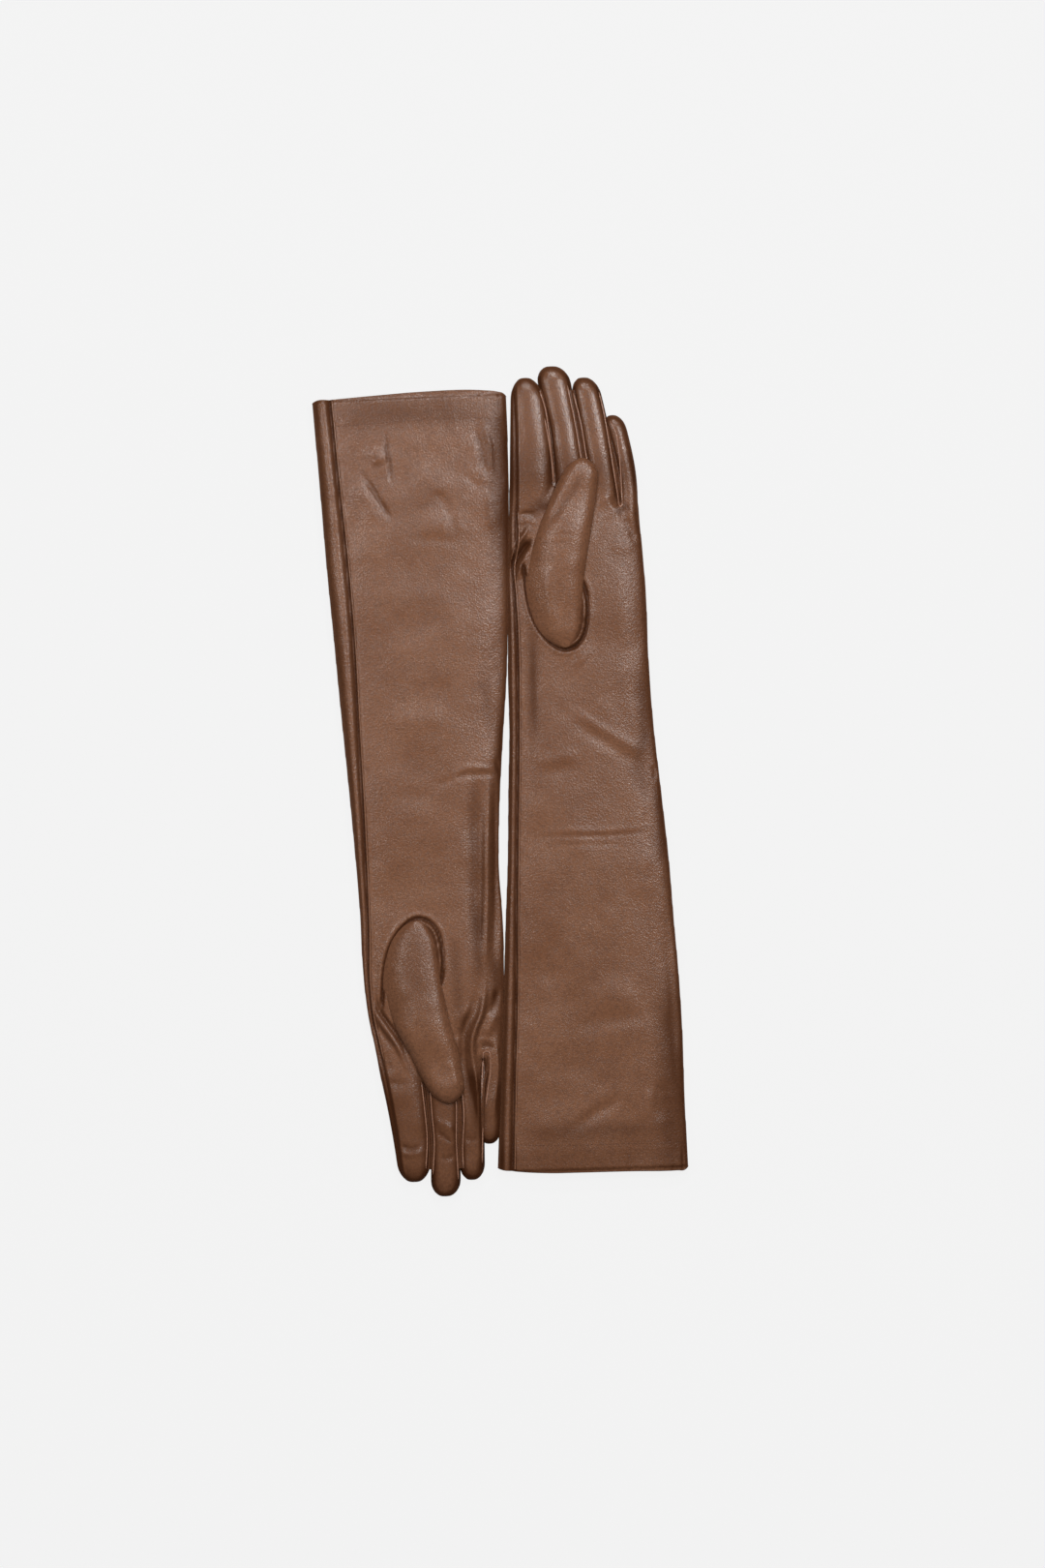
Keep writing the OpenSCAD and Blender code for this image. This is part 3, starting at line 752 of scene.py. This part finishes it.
def make_piece(name, v_mm, faces, side, mat, painted_shade=None, normals=None, rest=None, node=None):
    """A piece in the row frame, with its place in the leather and its painted shade as attributes.

    It stands for a node of the CAD where one is named.
    """
    name = f"{side}_{name}"
    mesh = bpy.data.meshes.new(name)
    faces = faces if isinstance(faces, list) else faces.tolist()
    if SIDES[side]["mirror"] < 0:
        faces = [f[::-1] for f in faces]
    mesh.from_pydata(place(v_mm, side).tolist(), [], faces)
    mesh.materials.append(mat)
    mesh.polygons.foreach_set("use_smooth", [len(f) <= 4 for f in faces])
    a = mesh.attributes.new("rest", "FLOAT_VECTOR", "POINT")
    a.data.foreach_set("vector", np.asarray(v_mm if rest is None else rest, np.float32).ravel())
    a = mesh.attributes.new("painted_shade", "FLOAT", "POINT")
    a.data.foreach_set("value", np.zeros(len(v_mm), np.float32) if painted_shade is None else painted_shade.astype(np.float32))
    if normals is not None:
        mesh.normals_split_custom_set_from_vertices(normals.tolist())
    obj = bpy.data.objects.new(name, mesh)
    bpy.context.collection.objects.link(obj)
    if node:
        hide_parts(f"{side}_{node}")
    return obj


def world_normals(n_mm, side):
    s = SIDES[side]
    a = math.radians(s["turn"])
    x, y = n_mm[:, 0] * s["mirror"], n_mm[:, 1]
    return np.stack([x * math.cos(a) - y * math.sin(a), x * math.sin(a) + y * math.cos(a), n_mm[:, 2]], 1)


def bend_hand(obj):
    """The piece's place is baked into its mesh."""
    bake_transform(obj)


def bend_finger(obj):
    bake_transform(obj)


def bend_thumb(obj):
    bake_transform(obj)


def plain_crease(side, f):
    """A finger's crease in the plain pattern."""
    return WEB + (CREASE[side][f] - WEB) * (PLAIN_TIPS[f] - WEB) / (TIPS[side][f] - WEB)


def painted_slope_shade(n, most=0.62):
    """Painted shade on the slopes of the folds: none on the flat, and little on upright sides."""
    angle = np.degrees(np.arccos(np.clip(np.abs(n[:, 2]), 0, 1)))
    return most * smooth((angle - 6.0) / 34.0) * (1 - 0.75 * smooth((angle - 42.0) / 30.0))


def build_skin(side):
    """The leather, divided into a piece for each body. Returns a tree for finding its surface."""
    v, painted_shade = shaped(PLAIN_V, side)
    n = world_normals(normals_of(v, PLAIN_Q), side)
    # painted shade on the slopes, less of it in the little finger's crotch
    crotch = np.exp(-((v[:, 0] - 29.0) / 8.0) ** 2 - ((v[:, 1] - 435.0) / 9.0) ** 2)
    painted_shade = np.clip(painted_shade + painted_slope_shade(n) * (1 - 0.7 * crotch), 0, 1)
    centre = PLAIN_V[PLAIN_Q].mean(1)
    f_of = finger_at(centre[:, 0])
    crease = np.array([plain_crease(side, f) for f in range(4)])
    beyond = centre[:, 1] > crease[f_of]
    strip = np.full(len(centre), -1)
    for g in range(3):
        web = LITTLE_WEB if g == 2 else WEB
        reach = (HALF_GAP + STRIP_W) * smooth(0.25 + (centre[:, 1] - web) / 14)
        near = (np.abs(centre[:, 0] - PLAIN_EDGES[g + 1]) < reach) & (centre[:, 1] > web - 1.5)
        near &= centre[:, 1] < np.array(PLAIN_TIPS)[f_of] - 7
        strip[near] = g
    sleeve = centre[:, 1] < WRIST

    def part(name, node, keep, mat):
        pv, pq, used = kept(v, PLAIN_Q, keep)
        return make_piece(name, pv, pq, side, mat, painted_shade[used], n[used], PLAIN_V[used], node)

    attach(part("sleeve_skin", "sleeve", sleeve, LEATHER), f"{side}_sleeve")
    bend_hand(part("hand_skin", "hand", ~sleeve & ~beyond & (strip < 0), LEATHER))
    for g, gap in enumerate(GAPS):
        obj = part(f"{gap}_strip", f"fourchette_{gap}", (strip == g) & ~beyond & ~sleeve, STRIP_PAINTED_SHADE)
        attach(obj, f"{side}_hand")
    for f, name in enumerate(FINGERS):
        mine = beyond & (f_of == f)
        bend_finger(part(f"{name}_tip_skin", f"{name}_tip", mine & (strip < 0), LEATHER))
        obj = part(f"{name}_tip_strips", f"{name}_tip_fourchette", mine & (strip >= 0), STRIP_PAINTED_SHADE)
        bend_finger(obj)
    return BVHTree.FromPolygons(v.tolist(), PLAIN_Q.tolist())


# ---------------------------------------------------------------- thumb
THUMB_SPINE = {
    "left": [(339, -8.5), (348, -11.5), (358, -13.2), (372, -14.4), (388, -13.8), (400, -11.4), (414, -7.8),
             (429, -3.4), (441, 0.2), (453, 3.8), (463, 5.5)],
    "right": [(336, -8.5), (346, -11.5), (357, -13), (371, -14.2), (386, -13.8), (398, -11.2), (412, -7.6),
              (427, -1.8), (439, 1.6), (451, 5), (460, 6.2)],
}
THUMB_HALF = [(339, 10.5), (348, 12.5), (358, 15.4), (372, 18), (388, 19.2), (400, 18.8), (414, 17.8),
              (429, 16.2), (441, 14.3), (453, 12.2), (463, 10.4)]
THUMB_HEIGHT = [(339, 2.4), (347, 3.6), (358, 4.8), (372, 6), (386, 7), (400, 7.7), (420, 8.2), (440, 8.2),
                (463, 7.8)]
THUMB_ENDS = {"left": (340.3, 463.6), "right": (340.5, 460.6)}
THUMB_ROUND = (15.0, 12.5)     # how long the rounding at the thumb's base and at its tip is
THUMB_TABLE = (339, 463)       # where the tables of its width and height start and end
SEAMED = 392.0                 # up to here the thumb's outer side slopes up level from the palm


def thumb_sections(side, inset=0.0, n=88):
    base, tip = THUMB_ENDS[side][0] + inset, THUMB_ENDS[side][1] - inset
    rb, rt = THUMB_ROUND
    first, last = THUMB_TABLE
    ys = np.concatenate([base + rb * (1 - np.cos(np.linspace(0.12, math.pi / 2, 16))),
                         np.arange(base + rb + 1.2, tip - rt, 1.2),
                         tip - rt * (1 - np.sin(np.linspace(0, math.pi / 2 - 0.1, 16)))])
    t = np.linspace(0, 2 * math.pi, n, endpoint=False)
    c, s = np.cos(t), np.sin(t)
    out = []
    for y in ys:
        yt = first + (y - base) * (last - first) / (tip - base)
        eb = math.sqrt(max(0.0, 1 - max(0.0, (rb - (y - base)) / rb) ** 2))
        et = math.sqrt(max(0.0, 1 - max(0.0, (rt - (tip - y)) / rt) ** 2))
        m = float(curve(THUMB_SPINE[side], y))
        w = float(curve(THUMB_HALF, yt)) * eb * et - inset
        h = float(curve(THUMB_HEIGHT, yt)) * (0.45 + 0.55 * eb) * (0.3 + 0.7 * et) - inset
        if min(w, h) < 0.3:        # the lining stops short of the ends
            continue
        # a flat crown with a steep fold on its right; the left side slopes up from the seam, then rounds over
        free = float(smooth((yt - SEAMED) / 22))
        p = np.where(c < 0, 2.0 + 0.6 * free, 3.6 - 0.4 * free)
        x = m + w * np.sign(c) * np.abs(c) ** (2 / p)
        crown = (s * s) ** np.where(c < 0, 1.0 - 0.48 * free, 0.45)
        z = np.where(s > 0, crown * h, -0.7 * np.abs(s) ** 0.8)
        out.append((x, float(y), z))
    return out


def palm_top(x, y, side):
    """The palm's height under the thumb, without its folds."""
    left, right = (curve(t, y) for t in EDGES[side])
    u = np.clip(np.abs((x - (left + right) / 2) / ((right - left) / 2)), 0, 1)
    hh = curve(BODY_HALF_HEIGHT, y)
    palm = hh + hh * (1 - u ** 3.0) ** (1 / 2.1)
    return palm + (12.0 - palm) * smooth((y - 420) / 30)


def build_thumb(side):
    """The thumb's leather, laid on the palm, and its lining."""
    v, faces = loft(thumb_sections(side))
    x, y, rel = v.T
    top = smooth(rel / 3.0)
    bump, painted_shade = folded(x, y, THUMB_FOLDS[side])
    bump += 0.45 * soft_noise(x, y, 19, 21 if side == "left" else 24) + 0.16 * soft_noise(x, y, 8, 22)
    z = palm_top(x, y, side) - 0.4 + rel + bump * top
    v = np.stack([x, y, z], 1)
    quads = np.array([f for f in faces if len(f) == 4])
    # painted shade from the thumb's folds, and lightly on its slopes
    painted_shade = np.clip(painted_shade * top + painted_slope_shade(normals_of(v, quads), 0.18), 0, 1)
    obj = make_piece("thumb_skin", v, faces, side, LEATHER, painted_shade, rest=v - 300.0, node="thumb")
    bend_thumb(obj)
    v, faces = loft(thumb_sections(side, 2.0, 32)[::3])
    z = palm_top(v[:, 0], v[:, 1], side) + v[:, 2] - 0.2
    v = np.stack([v[:, 0], v[:, 1], z], 1)
    obj = make_piece("thumb_inner", v, faces, side, LINING, node="thumb_lining")
    bend_thumb(obj)


# The thumb's folds: points, height, width, and how much shade is painted along it; the right thumb's last row
# is painted shade only
THUMB_FOLDS = {
    "left": [([(-27, 407), (-14, 409), (2, 408)], -0.12, 0.9, 0.12),
             ([(-26, 409.5), (-14, 411.5), (2, 410.5)], 0.1, 0.9, 0),
             ([(-25, 412.5), (-12, 414), (4, 412.5)], -0.1, 0.9, 0.1),
             ([(-24, 415), (-10, 416.5), (4, 415)], 0.1, 1, 0),
             ([(-21, 415), (-10, 430), (1, 443), (7, 457)], -0.8, 3, 0.35),
             ([(-21, 424), (-12, 438), (-4, 450)], 0.6, 3, 0),
             ([(-20, 395), (-19, 375), (-17, 352)], 0.5, 3, 0),
             ([(-12, 392), (-11, 372), (-11, 352)], -0.4, 3, 0),
             ([(-4, 400), (-5, 380), (-7, 360)], 0.5, 3.2, 0)],
    "right": [([(-12, 345), (-10, 365), (-8, 385)], 0.25, 3, 0),
              ([(-17, 350), (-15, 372), (-12, 395)], -0.2, 3.2, 0.03),
              ([(8, 430), (12, 442), (11, 452)], 0.6, 2.2, 0),
              ([(-4, 424), (2, 438), (3, 450)], -0.4, 3, 0),
              ([(-14, 322), (-12, 372), (-10, 420)], 0, 20, 0.28)],
}


# ---------------------------------------------------------------- hem, lining and stitches
HEM_TURN = 20.0
LINING_INSET = 1.7
FINGER_LINING_INSET = 1.3


def inner_tube(y0, y1, inset, step=6.0):
    """The arm and palm at an inset, open at both ends."""
    rows, n = [], BODY_POINTS
    for y in spaced(y0, y1, step):
        x, z = body_section(y, inset)
        rows.append(np.stack([x, np.full(n, y), z], 1))
    v = np.concatenate(rows)
    faces = [(k * n + i, (k + 1) * n + i, (k + 1) * n + (i + 1) % n, k * n + (i + 1) % n)
             for k in range(len(rows) - 1) for i in range(n)]
    return v, faces


def build_inside(side):
    """The turned hem, and the linings of the sleeve, the hand and the fingers."""
    v, faces = inner_tube(0.0, HEM_TURN, 1.2, 2.0)
    lip_v, _ = inner_tube(0.0, 0.0, 0.0)
    mid_v, _ = inner_tube(-0.45, -0.45, 0.6)
    base, n = len(v), BODY_POINTS
    v = np.concatenate([v, lip_v, mid_v])
    for i in range(n):
        j = (i + 1) % n
        faces += [(base + j, base + i, base + n + i, base + n + j), (base + n + j, base + n + i, i, j)]
    obj = make_piece("hem_turn", shaped(v, side)[0], faces, side, LEATHER, node="hem_band")
    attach(obj, f"{side}_sleeve")

    def lining(name, v, faces):
        v, _ = shaped(v, side, inner=True)
        return make_piece(f"{name}_inner", v, faces, side, LINING, node=f"{name}_lining")

    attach(lining("sleeve", *inner_tube(HEM_TURN - 3.0, WRIST, LINING_INSET)), f"{side}_sleeve")
    v, faces = inner_tube(WRIST, 424.0, LINING_INSET)
    for f in range(4):
        sections = plain_finger(f, 410, FINGER_LINING_INSET)
        root_v, root_faces = loft([s for s in sections if s[1] < plain_crease(side, f)])
        faces += [tuple(i + len(v) for i in face) for face in root_faces]
        v = np.concatenate([v, root_v])
    bend_hand(lining("hand", v, faces))
    for f, name in enumerate(FINGERS):
        tip = loft(plain_finger(f, plain_crease(side, f) + 0.5, FINGER_LINING_INSET))
        bend_finger(lining(f"{name}_tip", *tip))


RAY_FROM = 60                  # a height above the whole glove


def drop(tree, x, y):
    """Where a plan point falls on the palm face, and the skin's normal there."""
    return tree.ray_cast(Vector((x, y, RAY_FROM)), Vector((0, 0, -1)))[:2]


def on_skin(tree, line, up=0.0):
    """Points of a plan line dropped onto the palm face, with the skin's normals."""
    points, normals = [], []
    for x, y in line:
        hit, n = drop(tree, x, y)
        if hit is not None:
            n = n if n.z > 0 else -n
            points.append(np.array(hit + n * up))
            normals.append(np.array(n))
    return np.array(points), np.array(normals)


def resampled(line, step):
    """Points at even steps along a line."""
    p = np.array(line, float)
    d = np.concatenate([[0], np.cumsum(np.linalg.norm(np.diff(p, axis=0), axis=1))])
    s = np.arange(step / 2, d[-1], step)
    return np.stack([np.interp(s, d, p[:, k]) for k in range(p.shape[1])], 1)


STITCH_LENGTH, STITCH_RADIUS, STITCH_STEP = 1.5, 0.17, 2.4
# A stitch's profile: place along it, and thickness
STITCH_RINGS = ((-0.5, 0.3), (-0.38, 0.85), (-0.12, 1.0), (0.12, 1.0), (0.38, 0.85), (0.5, 0.3))


def stitches(points, normals):
    """Short rounded stitches, one between each two points of a line."""
    v, faces = [], []
    for k in range(len(points) - 1):
        a, b = points[k], points[k + 1]
        d = b - a
        gap = np.linalg.norm(d)
        if gap < 1e-6:
            continue
        d = d / gap
        m, n = (a + b) / 2, normals[k]
        side = np.cross(d, n)
        base = len(v)
        for t, r in STITCH_RINGS:
            for i in range(6):
                w = i * math.pi / 3
                out = side * math.cos(w) + n * math.sin(w)
                v.append(m + d * t * STITCH_LENGTH + out * STITCH_RADIUS * r)
        faces += ring_faces(6, 6, base)
        faces.append(tuple(base + i for i in range(6)))
        faces.append(tuple(base + 35 - i for i in range(6)))
    return np.array(v), faces


def welt(points, normals, radius, taper=(True, True), sides=8):
    """A thin roll of leather along a line, tapering at its free ends, with small dips along it."""
    d = np.gradient(points, axis=0)
    d /= np.linalg.norm(d, axis=1, keepdims=True)
    across = np.cross(d, normals)
    up = np.cross(across, d)
    k = np.arange(len(points))
    ends = smooth(k / 3.0) if taper[0] else 1.0
    ends = ends * (smooth((len(points) - 1 - k) / 3.0) if taper[1] else 1.0)
    r = radius * (0.35 + 0.65 * ends) * (1 + 0.10 * np.cos(k * math.pi))
    a = np.linspace(0, 2 * math.pi, sides, endpoint=False)
    out = across[:, None] * np.cos(a)[None, :, None] + up[:, None] * np.sin(a)[None, :, None]
    v = points[:, None] + r[:, None, None] * out
    faces = ring_faces(len(points), sides)
    faces.append(tuple(range(sides)))
    faces.append(tuple(len(points) * sides - 1 - j for j in range(sides)))
    return v.reshape(-1, 3), faces


def side_normals(v, faces, side):
    """Normals that leave out the end caps, so that two pieces meet without a mark."""
    return world_normals(normals_of(v, np.array([f for f in faces if len(f) == 4])), side)


def strip_piece(name, v, faces, side, mat):
    return make_piece(name, v, faces, side, mat, normals=side_normals(v, faces, side))


GUSSET_DROP = 1.4              # how far a gusset goes down into the fold between two fingers
GUSSET_THICK = 0.8
SEAM_IN = 2.4                  # how far a gusset's seam lies in from the finger's edge
GUSSET_ACROSS = np.array([0.0, 0.3, 0.6, 0.85, 1.0])
GUSSET_FALL = np.array([0.0, 0.16, 0.45, 0.8, 1.0])


def gusset_leg(side, f, end, web, lo, hi, tree):
    """One leg of a gusset: a strip from a finger's seam into the fold that it shares with the next."""
    a, b, _ = FINGER_EDGES[side][f]
    ys = spaced(lo, hi, 2.0)
    if end:
        other = FINGER_EDGES[side][f + 1][0]
        seam, own, sign = curve(b, ys) - SEAM_IN, curve(b, ys), 1.0
    else:
        other = FINGER_EDGES[side][f - 1][1]
        seam, own, sign = curve(a, ys) + SEAM_IN, curve(a, ys), -1.0
    fold = (own + curve(other, ys)) / 2
    fold = np.where(sign * (fold - own) < 0, own, fold) + sign * 0.05
    rows = []
    for k, y in enumerate(ys):
        hit, _ = drop(tree, seam[k], y)
        top = hit.z if hit is not None else 10.0
        narrow = float(smooth((y - web) / 8.0 + 0.2))
        x = seam[k] + (fold[k] - seam[k]) * GUSSET_ACROSS
        z = top - 0.3 - GUSSET_DROP * narrow * GUSSET_FALL
        upper = np.stack([x, np.full(5, y), z], 1)
        under = np.stack([x, np.full(5, y), z - GUSSET_THICK], 1)
        rows.append(np.concatenate([upper, under[::-1]]))
    v = np.concatenate(rows)
    faces = []
    for k in range(len(rows) - 1):
        for i in range(10):
            j = (i + 1) % 10
            faces.append((k * 10 + i, k * 10 + j, (k + 1) * 10 + j, (k + 1) * 10 + i))
    last = (len(rows) - 1) * 10
    faces.append(tuple(range(9, -1, -1)))
    faces.append(tuple(last + i for i in range(10)))
    if not end:
        faces = [face[::-1] for face in faces]
    return v, faces


def build_gussets(side, tree):
    """Two legs between each two fingers: their roots in one piece, and a piece on each fingertip."""
    for g in range(3):
        web = (LITTLE_WEB if g == 2 else WEB) - 1.0
        parts = []
        for f, end in ((g, 1), (g + 1, 0)):
            crease = CREASE[side][f]
            parts.append(gusset_leg(side, f, end, web, web, crease, tree))
            tip = min(TIPS[side][g], TIPS[side][g + 1]) - 9.0
            v, faces = gusset_leg(side, f, end, web, crease, max(tip, crease + 8), tree)
            bend_finger(strip_piece(f"{FINGERS[f]}_gusset{1 + end}", v, faces, side, STRIP_PAINTED_SHADE))
        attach(strip_piece(f"{GAPS[g]}_gusset", *joined(parts), side, STRIP_PAINTED_SHADE), f"{side}_hand")


def joined(parts):
    """Several meshes as one."""
    v, faces, base = [], [], 0
    for pv, pf in parts:
        if len(pv):
            v.append(pv)
            faces += [tuple(i + base for i in f) for f in pf]
            base += len(pv)
    return np.concatenate(v), faces


WELT_RADIUS = 0.43
LIP_RADIUS = 0.45


def build_threads(side, tree):
    """The stitches, the welts of the finger seams and the lip of the side seam."""

    def seam(name, line, up=0.0):
        v, faces = stitches(*on_skin(tree, resampled(line, STITCH_STEP), up))
        return make_piece(f"{name}_seam", v, faces, side, THREAD, node=f"{name}_thread")

    def beside(ys, x=0.0):
        """A line along the side seam, or at a distance from it."""
        return np.stack([curve(SIDE_SEAM[side], ys) + x, ys], 1)

    def roll(name, line, up, radius, taper, mat):
        return strip_piece(name, *welt(*on_skin(tree, line, up), radius, taper), side, mat)

    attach(seam("sleeve", beside(np.arange(1.5, WRIST - 1, 2.0))), f"{side}_sleeve")
    xs = np.arange(-58, 58, 2.0)
    hem_line = np.stack([xs, 17.5 + curve(HEM[side], xs) * 0.85], 1)
    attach(seam("hem", hem_line, up=-0.08), f"{side}_sleeve")
    bend_hand(seam("palm", beside(np.arange(WRIST + 1.5, 440, 2.0))))
    for f, end in ((f, end) for f in range(4) for end in (0, 1)):
        table = FINGER_SEAMS[side][f][end]
        if table is None:
            continue
        crease = CREASE[side][f]
        for part, lo, hi in (("root", table[0][0], crease), ("tip", crease, table[-1][0])):
            ys = spaced(lo, hi, 1.0)
            line = np.stack([curve(table, ys), ys], 1)
            taper = (part == "root", part == "tip")
            obj = roll(f"{FINGERS[f]}_{part}_edge{end + 1}", line, 0.1, WELT_RADIUS, taper, WELT_PAINTED_HIGHLIGHT)
            if part == "root":
                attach(obj, f"{side}_hand")
            else:
                bend_finger(obj)
    (ya, xa), (yb, xb) = FINGER_SEAMS[side][2][1][0], FINGER_SEAMS[side][3][0][0]
    low = min(ya, yb) - 0.7 * (xb - xa) - 1.5
    arc = [(xa, ya), (xa + 0.2, low + 1.5), ((xa + xb) / 2, low), (xb - 0.2, low + 1.5), (xb, yb)]
    obj = roll("crotch_edge", smooth_line(arc), 0.1, WELT_RADIUS, (False, False), WELT_PAINTED_HIGHLIGHT)
    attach(obj, f"{side}_hand")
    # a thin lip on the palm's side of the side seam
    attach(roll("sleeve_lip", beside(spaced(0.5, WRIST, 1.5), 1.3), 0.0, LIP_RADIUS, (False, False), LIP_PAINTED_HIGHLIGHT),
            f"{side}_sleeve")
    bend_hand(roll("palm_lip", beside(spaced(WRIST, 430.0, 1.5), 1.3), 0.0, LIP_RADIUS, (False, True), LIP_PAINTED_HIGHLIGHT))
    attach(seam("thumb", smooth_line(OVAL)), f"{side}_hand")


for side in SIDES:
    skin_tree = build_skin(side)
    build_thumb(side)
    build_inside(side)
    build_threads(side, skin_tree)
    build_gussets(side, skin_tree)
